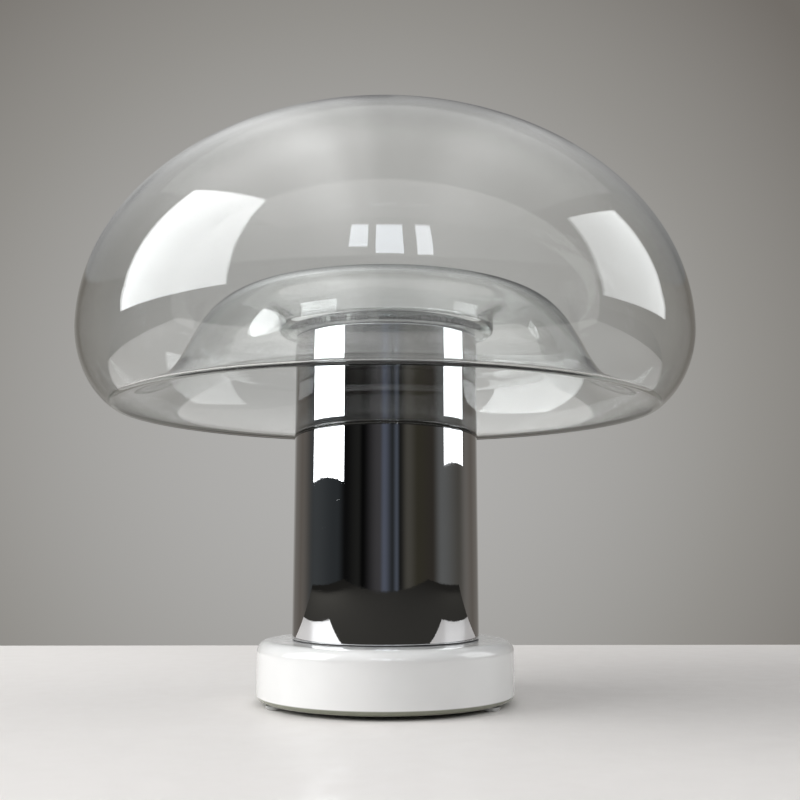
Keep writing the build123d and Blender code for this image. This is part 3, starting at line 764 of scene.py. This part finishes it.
# %% Metals
METALS = (
    ("chrome", (0.80, 0.805, 0.82), (0.78, 0.785, 0.80), 0.016, 0.02, 0.55, 0.07),
    ("steel", (0.58, 0.59, 0.60), (0.50, 0.50, 0.50), 0.34, 0.14, 0.6, 0.5),
    ("cast_iron", (0.045, 0.045, 0.05), (0.07, 0.065, 0.06), 0.62, 0.2, 0.2, 1.0),
    ("brass", (0.80, 0.60, 0.30), (0.62, 0.43, 0.20), 0.28, 0.16, 0.5, 0.5),
    ("bulb_metal", (0.80, 0.80, 0.81), (0.70, 0.70, 0.70), 0.22, 0.12, 0.5, 0.4),
)
for name, bright, dull, roughness, spread, density, depth in METALS:
    tree, surface = start_finish(name, Metallic=0.0 if name == "cast_iron" else 1.0)
    drifting = use_group(
        tree,
        drift_group,
        Colour=(*bright, 1.0),
        Second_Colour=(*dull, 1.0),
        Roughness=roughness,
        Spread=spread,
        Patch_Scale=26.0,
        Grain_Scale=900.0,
    )
    scratched = use_group(tree, scratch_group, Density=density)["Mask"]
    dusty = use_group(tree, dust_group, Amount=0.6)
    worn = sum_of(tree, "MULTIPLY_ADD", scratched, 0.16, drifting["Roughness"])
    feed(tree, surface.inputs["Roughness"], sum_of(tree, "MULTIPLY_ADD", dusty["Mask"], 0.3, worn))
    scratch_share = sum_of(tree, "MULTIPLY", scratched, 0.25)
    tinted = blend_colours(tree, scratch_share, drifting["Colour"], (*dull, 1.0))
    feed(tree, surface.inputs["Base Color"], tinted)
    grained = bump(tree, drifting["Height"], depth * 0.2, 0.0001)
    feed(tree, surface.inputs["Normal"], bump(tree, scratched, depth, 0.00002, grained))
print(len(METALS), "metals ready")

# %% [markdown]
# Rubber, moulded black phenolic, white steatite and the frosted bulb are all dull or half glossy
# bodies. They share one recipe. Each row gives two colours, the roughness and how far it drifts,
# the fineness and the strength of the grain, and how much dust lies on what faces up.

# %% Dull bodies
DULL = (
    ("black_rubber", (0.020, 0.020, 0.020), (0.035, 0.034, 0.033), 0.62, 0.15, 900.0, 0.35, 0.6),
    ("gasket_rubber", (0.022, 0.022, 0.024), (0.040, 0.040, 0.040), 0.48, 0.15, 900.0, 0.30, 0.4),
    ("phenolic", (0.016, 0.013, 0.011), (0.030, 0.024, 0.020), 0.30, 0.14, 500.0, 0.10, 0.8),
    ("ceramic", (0.80, 0.78, 0.72), (0.72, 0.70, 0.64), 0.34, 0.12, 700.0, 0.25, 0.7),
    ("opal_bulb", (0.86, 0.86, 0.83), (0.83, 0.83, 0.80), 0.38, 0.08, 1200.0, 0.12, 0.5),
    ("black_glass", (0.010, 0.010, 0.012), (0.020, 0.020, 0.022), 0.12, 0.08, 400.0, 0.10, 0.3),
)
for name, main, second, roughness, spread, grain_scale, strength, dustiness in DULL:
    tree, surface = start_finish(name, IOR=1.5)
    drifting = use_group(
        tree,
        drift_group,
        Colour=(*main, 1.0),
        Second_Colour=(*second, 1.0),
        Roughness=roughness,
        Spread=spread,
        Patch_Scale=40.0,
        Grain_Scale=grain_scale,
    )
    dusty = use_group(tree, dust_group, Amount=dustiness)
    covered = blend_colours(tree, dusty["Mask"], drifting["Colour"], (0.42, 0.40, 0.37, 1.0))
    feed(tree, surface.inputs["Base Color"], covered)
    dulled = sum_of(tree, "MULTIPLY_ADD", dusty["Mask"], 0.2, drifting["Roughness"])
    feed(tree, surface.inputs["Roughness"], dulled)
    feed(tree, surface.inputs["Normal"], bump(tree, drifting["Height"], strength, 0.0001))
print(len(DULL), "dull bodies ready")

# %% [markdown]
# The feet are soft clear polyurethane: it passes light, but its skin is a little blurred, and its
# tone and gloss drift a little from place to place.

# %% Clear rubber
tree, surface = start_finish("clear_rubber", Transmission_Weight=0.55, IOR=1.48)
drifting = use_group(
    tree,
    drift_group,
    Colour=(0.95, 0.95, 0.93, 1.0),
    Second_Colour=(0.88, 0.88, 0.85, 1.0),
    Roughness=0.10,
    Spread=0.08,
    Patch_Scale=200.0,
    Grain_Scale=1500.0,
)
feed(tree, surface.inputs["Base Color"], drifting["Colour"])
feed(tree, surface.inputs["Roughness"], drifting["Roughness"])
feed(tree, surface.inputs["Normal"], bump(tree, drifting["Height"], 0.1, 0.0001))
print("clear rubber ready")

# %% [markdown]
# Each CAD node carries the record's slot name on its own mesh. The slot's finish goes on every
# node, so the parts that keep their CAD mesh are dressed too, also those deep inside.

# %% Dress the CAD nodes
for name, node in nodes.items():
    for slot in node.material_slots:
        slot.material = finishes[slot.material.name]
print("dressed", len(nodes), "nodes with", len(finishes), "finishes")


# %% [markdown]
# The solids come as flat facets. That is right for a nut, but a curved mirror or a lens shows
# every facet, so the round pieces are turned again as smooth meshes. Each one says which node it
# stands for, which body it rides on and which slot its finish comes from.

# %% Placing a piece
def stand_for(piece, node, body):
    """The piece takes the node's place on that body."""
    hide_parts(node)
    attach(piece, body)


print("placing helper ready")

# %% [markdown]
# The shade is one closed skin. The section starts on top of the crown and runs down the outside,
# round the folded rim, up the flare and the bell, and down the outside of the well to its seat on
# the gasket. Then it goes round the hole in the well's floor and back up inside, over the bell,
# round the valley above the rim, and along the inner skin to the crown.

# %% Shade section
SHADE_RADIUS = 0.200
SHADE_WALL = 0.003
SEAT_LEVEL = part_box("shade_gasket")[1].z
BELLY_LEVEL = SEAT_LEVEL + 0.001
CROWN_LEVEL = BELLY_LEVEL + 0.149
RIM = (0.179, BELLY_LEVEL - 0.0468)
FOLD = (RIM[0] - 0.0044, RIM[1] - 0.0012)
WELL_RADIUS = 0.0715
BELL_WALL = 0.003
CREST_ROLL = 0.0135
CREST = (WELL_RADIUS + CREST_ROLL, FOLD[1] + 0.073)
WAIST = (CREST[0] + 0.0485, FOLD[1] + 0.0265)
CROWN_HANDLES = ((0.0, 0.5523), (0.4477, 1.0))
BELLY_HANDLES = ((0.0, 0.405), (0.377, 0.782))
FOLD_HANDLES = ((0.364, 1.02), (0.64, 1.16))
VALLEY_HANDLES = ((0.2, 1.9), (0.6, 1.6))
FLARE_HANDLES = ((0.367, 0.072), (0.805, 0.434))
BELL_HANDLES = ((0.186, 0.366), (0.361, 1.0))
WELL_CORNER = 0.006
WELL_INNER_CORNER = 0.004
WELL_FLOOR = 0.005
WELL_HOLE = 0.048
SHADE_STEPS = 224


def end_slope(start, end, handles):
    """The angle at which a curve arrives at its end."""
    run = (1 - handles[1][0]) * (end[0] - start[0])
    rise = (1 - handles[1][1]) * (end[1] - start[1])
    return math.atan2(abs(rise), abs(run))


belly_top = (SHADE_RADIUS, BELLY_LEVEL)
crown_top = (0.0, CROWN_LEVEL)
rim_slope = end_slope(belly_top, RIM, BELLY_HANDLES)
waist_slope = end_slope(FOLD, WAIST, FLARE_HANDLES)
inner_belly = (SHADE_RADIUS - SHADE_WALL, BELLY_LEVEL)
inner_crown = (0.0, CROWN_LEVEL - SHADE_WALL)
inner_rim = (RIM[0] - SHADE_WALL * math.sin(rim_slope), RIM[1] + SHADE_WALL * math.cos(rim_slope))
inner_valley = (RIM[0] - 0.0064, FOLD[1] + BELL_WALL + 0.0002)
inner_waist = (
    WAIST[0] + BELL_WALL * math.sin(waist_slope),
    WAIST[1] + BELL_WALL * math.cos(waist_slope),
)
crest_heart = (CREST[0], CREST[1] - CREST_ROLL)
well_bore = WELL_RADIUS - BELL_WALL
floor_top = SEAT_LEVEL + WELL_FLOOR
floor_edge = WELL_HOLE + WELL_FLOOR / 2
inner_corner = (well_bore - WELL_INNER_CORNER, floor_top + WELL_INNER_CORNER)
shade_section = (
    curve(belly_top, crown_top, CROWN_HANDLES, 60)[::-1]
    + curve(belly_top, RIM, BELLY_HANDLES)
    + curve(RIM, FOLD, FOLD_HANDLES, 10)
    + curve(FOLD, WAIST, FLARE_HANDLES, 30)
    + curve(WAIST, CREST, BELL_HANDLES, 36)
    + arc(crest_heart, CREST_ROLL, 90, 180, 14)
    + arc((WELL_RADIUS - WELL_CORNER, SEAT_LEVEL + WELL_CORNER), WELL_CORNER, 0, -90)
    + arc((floor_edge, SEAT_LEVEL + WELL_FLOOR / 2), WELL_FLOOR / 2, 270, 90)
    + arc(inner_corner, WELL_INNER_CORNER, 270, 360)
    + arc(crest_heart, CREST_ROLL + BELL_WALL, 180, 90, 14)
    + curve(inner_waist, (CREST[0], CREST[1] + BELL_WALL), BELL_HANDLES, 36)[::-1]
    + curve(inner_valley, inner_waist, FLARE_HANDLES, 30)[::-1]
    + curve(inner_rim, inner_valley, VALLEY_HANDLES, 10)[::-1]
    + curve(inner_belly, inner_rim, BELLY_HANDLES)[::-1]
    + curve(inner_belly, inner_crown, CROWN_HANDLES, 60)
)
print("the shade's section has", len(shade_section), "points")

# %% [markdown]
# The section goes through the turning tree in one piece. It starts and ends on the axis, so the
# line stays open and the tree closes the two poles by merging their points.

# %% Turn the shade
clear = finishes["clear_glass"]
shade = turned_piece("shade_glass", shade_section, clear, SHADE_STEPS, closed=False)
stand_for(shade, "glass_shade", "shade")

# %% [markdown]
# The column is a plain tube. A real tube end is cut and then broken a little with a file, so its
# edges get a small round that catches the light. A round hole in the back takes the cord bush: it
# is cut with a boolean, between two rings of points that keep the rest of the mirror untouched.

# %% Column
COLUMN_RADIUS = 0.060
COLUMN_BORE = 0.0585
COLUMN_LOW, COLUMN_HIGH = (corner.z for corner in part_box("column_tube"))
COLUMN_EDGE = 0.0004
BUSH_LOW, BUSH_HIGH = (corner.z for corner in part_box("cord_bush"))
BUSH_HOLE = 0.0051
column_section = (
    arc((COLUMN_RADIUS - COLUMN_EDGE, COLUMN_LOW + COLUMN_EDGE), COLUMN_EDGE, 270, 360, 4)
    + [(COLUMN_RADIUS, BUSH_LOW), (COLUMN_RADIUS, BUSH_HIGH)]
    + arc((COLUMN_RADIUS - COLUMN_EDGE, COLUMN_HIGH - COLUMN_EDGE), COLUMN_EDGE, 0, 90, 4)
    + arc((COLUMN_BORE + COLUMN_EDGE, COLUMN_HIGH - COLUMN_EDGE), COLUMN_EDGE, 90, 180, 4)
    + [(COLUMN_BORE, BUSH_HIGH), (COLUMN_BORE, BUSH_LOW)]
    + arc((COLUMN_BORE + COLUMN_EDGE, COLUMN_LOW + COLUMN_EDGE), COLUMN_EDGE, 180, 270, 4)
)
column = turned_piece("column_mirror", column_section, finishes["chrome"])


def cut_out(piece, shape):
    """Cuts the bmesh shape out of the piece's mesh."""
    cutter_mesh = bpy.data.meshes.new("cutter")
    shape.to_mesh(cutter_mesh)
    shape.free()
    cutter = bpy.data.objects.new("cutter", cutter_mesh)
    scene.collection.objects.link(cutter)
    modifier = piece.modifiers.new("cut", "BOOLEAN")
    modifier.object = cutter
    modifier.solver = "EXACT"
    graph = bpy.context.evaluated_depsgraph_get()
    cut_mesh = bpy.data.meshes.new_from_object(piece.evaluated_get(graph))
    piece.modifiers.clear()
    piece.data = cut_mesh
    piece.data.set_sharp_from_angle(angle=SHARP_ANGLE)
    bpy.data.objects.remove(cutter)


def bore(piece, radius, start, end):
    """Cuts a round hole through the piece along the line from start to end."""
    shape = bmesh.new()
    axis = Vector(end) - Vector(start)
    turn = axis.to_track_quat("Z", "Y").to_matrix().to_4x4()
    place = Matrix.Translation((Vector(start) + Vector(end)) / 2) @ turn
    bmesh.ops.create_cone(
        shape,
        cap_ends=True,
        segments=48,
        radius1=radius,
        radius2=radius,
        depth=axis.length,
        matrix=place,
    )
    cut_out(piece, shape)


PAST_WALL = 0.005
bush_level = (BUSH_LOW + BUSH_HIGH) / 2
inside = (0.0, COLUMN_BORE - PAST_WALL, bush_level)
outside = (0.0, COLUMN_RADIUS + PAST_WALL, bush_level)
bore(column, BUSH_HOLE, inside, outside)
stand_for(column, "column_tube", "lamp")

# %% [markdown]
# The base is a thick drum of pressed and ground glass, open below. Its outline has a broad round
# at the shoulder and a small one at the lip, and a hole in the middle of its top for the rod.

# %% Base
BASE_RADIUS = 0.082
BASE_BORE = 0.0725
BASE_HOLE = 0.0065
BASE_LOW, BASE_HIGH = (corner.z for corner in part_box("base_glass"))
BASE_CEILING = BASE_HIGH - 0.008
SHOULDER = 0.007
LIP = 0.0036
CEILING_ROUND = 0.006
base_section = (
    [(BASE_BORE, BASE_LOW)]
    + arc((BASE_RADIUS - LIP, BASE_LOW + LIP), LIP, 270, 360, 12)
    + arc((BASE_RADIUS - SHOULDER, BASE_HIGH - SHOULDER), SHOULDER, 0, 90, 20)
    + [(BASE_HOLE, BASE_HIGH), (BASE_HOLE, BASE_CEILING)]
    + arc((BASE_BORE - CEILING_ROUND, BASE_CEILING - CEILING_ROUND), CEILING_ROUND, 90, 0, 12)
)
base = turned_piece("base_drum", base_section, finishes["opal_glass"])
stand_for(base, "base_glass", "lamp")

# %% [markdown]
# Between glass and metal lie thin rubber rings: one under the shade, which shows as a dark line
# round the top of the column, and one under the column.

# %% Rubber rings
for name, node, low_radius, high_radius, edge in (
    ("gasket_ring", "shade_gasket", 0.0514, 0.0594, 0.0004),
    ("pad_ring", "column_pad", 0.0065, 0.0596, 0.0002),
):
    low, high = (corner.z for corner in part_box(node))
    section = rounded_box((low_radius, low), (high_radius, high), edge, 3)
    stand_for(turned_piece(name, section, finishes["gasket_rubber"]), node, "lamp")

# %% [markdown]
# The steel seat ring closes the top of the tube and carries the gasket. Its flange turns down
# into a skirt with a pressed round, as sheet steel has where it is drawn over a die.

# %% Seat ring
RING_BORE = 0.0495
RING_WALL = 0.002
RING_LOW, RING_HIGH = (corner.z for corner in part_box("seat_ring"))
RING_OUTER_ROUND = 0.001
RING_INNER_ROUND = 0.0008
outer_heart = (COLUMN_BORE - RING_OUTER_ROUND, RING_HIGH - RING_OUTER_ROUND)
inner_heart = (RING_BORE + RING_INNER_ROUND, RING_HIGH - RING_INNER_ROUND)
ring_section = (
    [(COLUMN_BORE, RING_LOW)]
    + arc(outer_heart, RING_OUTER_ROUND, 0, 90, 5)
    + arc(inner_heart, RING_INNER_ROUND, 90, 180, 4)
    + [(RING_BORE, RING_HIGH - RING_WALL), (COLUMN_BORE - RING_WALL, RING_HIGH - RING_WALL)]
    + [(COLUMN_BORE - RING_WALL, RING_LOW)]
)
seat_flange = turned_piece("seat_flange", ring_section, finishes["steel"])
stand_for(seat_flange, "seat_ring", "lamp")

# %% [markdown]
# The bulb is a small frosted globe drawn down into a neck. Its metal cap is a thin shell with a
# rolled thread, and the brass shell of the lampholder has the same thread, so both use the
# thread inputs of the turning tree.

# %% Bulb and its thread
GLOBE_RADIUS = 0.0225
BULB_WALL = 0.0008
NECK_RADIUS = 0.0126
NECK_ANGLE = 50
THREAD_PITCH = 0.00363
THREAD_DEPTH = 0.00025
BULB_LOW, BULB_HIGH = (corner.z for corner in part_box("bulb_glass"))
CAP_LOW, CAP_HIGH = (corner.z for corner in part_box("bulb_cap"))
globe_heart = (0.0, BULB_HIGH - GLOBE_RADIUS)
inner_neck = NECK_RADIUS - BULB_WALL
bulb_section = (
    arc(globe_heart, GLOBE_RADIUS, 90, -NECK_ANGLE, 40)
    + [(NECK_RADIUS, CAP_HIGH), (NECK_RADIUS, BULB_LOW)]
    + [(inner_neck, BULB_LOW), (inner_neck, CAP_HIGH)]
    + arc(globe_heart, GLOBE_RADIUS - BULB_WALL, -NECK_ANGLE, 90, 40)
)
bulb = turned_piece("bulb_globe", bulb_section, finishes["opal_bulb"], 128, closed=False)
stand_for(bulb, "bulb_glass", "bulb")


def threaded_shell(name, node, body, slot, inner, outer, plain_end):
    """A thin shell with a rolled thread, as tall as its node."""
    low, high = (corner.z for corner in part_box(node))
    rows = round((high - low) / THREAD_PITCH * 10)
    heights = [low + (high - low) * i / rows for i in range(rows + 1)]
    section = [(outer, z) for z in heights] + [(inner, z) for z in reversed(heights)]
    thread = {"thread_depth": THREAD_DEPTH, "thread_pitch": THREAD_PITCH}
    thread.update(thread_bottom=low + 0.001, thread_top=high - plain_end)
    stand_for(turned_piece(name, section, finishes[slot], 96, **thread), node, body)


CAP_RADIUS = 0.0131 - THREAD_DEPTH
CAP_BORE = CAP_RADIUS - 0.0003
SHELL_BORE = 0.0134
SHELL_RADIUS = SHELL_BORE + 0.00025
threaded_shell("bulb_thread", "bulb_cap", "bulb", "bulb_metal", CAP_BORE, CAP_RADIUS, 0.004)
threaded_shell(
    "holder_thread", "screw_shell", "lamp", "brass", SHELL_BORE, SHELL_RADIUS, 0.002
)

# %% [markdown]
# Feet and bridge screws stand at equal steps on a circle. Copies round a circle are what
# instances are for: a circle with one point for each copy, and the piece placed on every point,
# turned to face outwards.

# %% The ring tree
ring_tree, given, made = new_group(
    "ring_of_copies",
    "GeometryNodeTree",
    (
        ("Piece", "NodeSocketGeometry", None),
        ("Count", "NodeSocketInt", 3),
        ("Radius", "NodeSocketFloat", 0.05),
        ("First Angle", "NodeSocketFloat", 0.0),
        ("Material", "NodeSocketMaterial", None),
    ),
    (("Geometry", "NodeSocketGeometry"),),
)
number, radius = given.outputs["Count"], given.outputs["Radius"]
circle = add_node(ring_tree, "GeometryNodeMeshCircle", Vertices=number, Radius=radius)
turn = add_node(ring_tree, "ShaderNodeCombineXYZ", Z=given.outputs["First Angle"])
turned_circle = add_node(ring_tree, "GeometryNodeTransform", Geometry=circle.outputs[0])
ring_tree.links.new(turn.outputs[0], turned_circle.inputs["Rotation"])
step = sum_of(ring_tree, "DIVIDE", math.tau, given.outputs["Count"])
order = add_node(ring_tree, "GeometryNodeInputIndex").outputs[0]
facing_angle = sum_of(ring_tree, "MULTIPLY_ADD", order, step, given.outputs["First Angle"])
facing_turn = add_node(ring_tree, "ShaderNodeCombineXYZ", Z=facing_angle)
copies = add_node(
    ring_tree,
    "GeometryNodeInstanceOnPoints",
    Points=turned_circle.outputs[0],
    Instance=given.outputs["Piece"],
)
ring_tree.links.new(facing_turn.outputs[0], copies.inputs["Rotation"])
real = add_node(ring_tree, "GeometryNodeRealizeInstances", Geometry=copies.outputs[0]).outputs[0]
finish = given.outputs["Material"]
dressed = add_node(ring_tree, "GeometryNodeSetMaterial", Geometry=real, Material=finish)
ring_tree.links.new(dressed.outputs[0], made.inputs[0])


def ring_of(name, piece, count, radius, start, slot):
    """Copies of the piece at equal steps on a circle, as one object in its place."""
    values = {"Count": count, "Radius": radius, "First Angle": start, "Material": finishes[slot]}
    ring = run_tree(name, ring_tree, piece.data, values)
    bpy.data.objects.remove(piece)
    return ring


print("ring tree has", len(ring_tree.nodes), "nodes")

# %% [markdown]
# The feet are three clear buttons with a rounded edge, stuck under the base. One is turned from
# its half section, and the ring tree makes the three.

# %% Feet
FOOT_COUNT = 3
FOOT_RADIUS = 0.006
FOOT_FLAT = 0.0042
FOOT_CIRCLE = 0.075
FOOT_START = math.radians(-33)
FOOT_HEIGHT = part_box("bumper_feet")[1].z
foot_section = (
    [(0.0, 0.0), (FOOT_FLAT, 0.0)]
    + curve((FOOT_FLAT, 0.0), (FOOT_RADIUS, FOOT_HEIGHT), ((0.35, 0.0), (0.9, 0.45)), 10)
    + [(0.0, FOOT_HEIGHT)]
)
foot = turned_piece("foot_button", foot_section, finishes["clear_rubber"], 64, closed=False)
feet = ring_of("clear_feet", foot, FOOT_COUNT, FOOT_CIRCLE, FOOT_START, "clear_rubber")
stand_for(feet, "bumper_feet", "lamp")

# %% [markdown]
# Three pan head screws hold the bridge plate. The head is turned, and its slot is cut with a
# box. The same ring tree sets them round the plate.

# %% Bridge screws
SCREW_COUNT = 3
SCREW_HEAD = 0.0036
SCREW_HEAD_HEIGHT = 0.0024
SCREW_HEAD_EDGE = 0.0006
SCREW_CHAMFER = 0.0004
SCREW_START = math.radians(30)
SCREW_RADIUS = 0.002
SCREW_CIRCLE = 0.05075
SCREW_SLOT = (0.008, 0.0008, 0.0012)
SCREW_LOW, SCREW_HIGH = (corner.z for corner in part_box("bridge_screws"))
head_low = SCREW_HIGH - SCREW_HEAD_HEIGHT
head_edge = (SCREW_HEAD, head_low + SCREW_HEAD_EDGE)
screw_section = (
    [(0.0, SCREW_HIGH)]
    + curve((0.0, SCREW_HIGH), head_edge, ((0.7, 0.0), (1.0, 0.45)), 12)
    + [(SCREW_HEAD, head_low), (SCREW_RADIUS, head_low)]
    + [(SCREW_RADIUS, SCREW_LOW + SCREW_CHAMFER)]
    + [(SCREW_RADIUS - SCREW_CHAMFER, SCREW_LOW), (0.0, SCREW_LOW)]
)
screw = turned_piece("bridge_screw", screw_section, finishes["steel"], 48, closed=False)
slot_shape = bmesh.new()
bmesh.ops.create_cube(slot_shape, size=1.0)
for corner in slot_shape.verts:
    corner.co = Vector(a * b for a, b in zip(corner.co, SCREW_SLOT)) + Vector((0, 0, SCREW_HIGH))
cut_out(screw, slot_shape)
screws = ring_of("bridge_screw_heads", screw, SCREW_COUNT, SCREW_CIRCLE, SCREW_START, "steel")
stand_for(screws, "bridge_screws", "lamp")

# %% [markdown]
# Last, the script prints that it is done.

# %% Done
print("done")
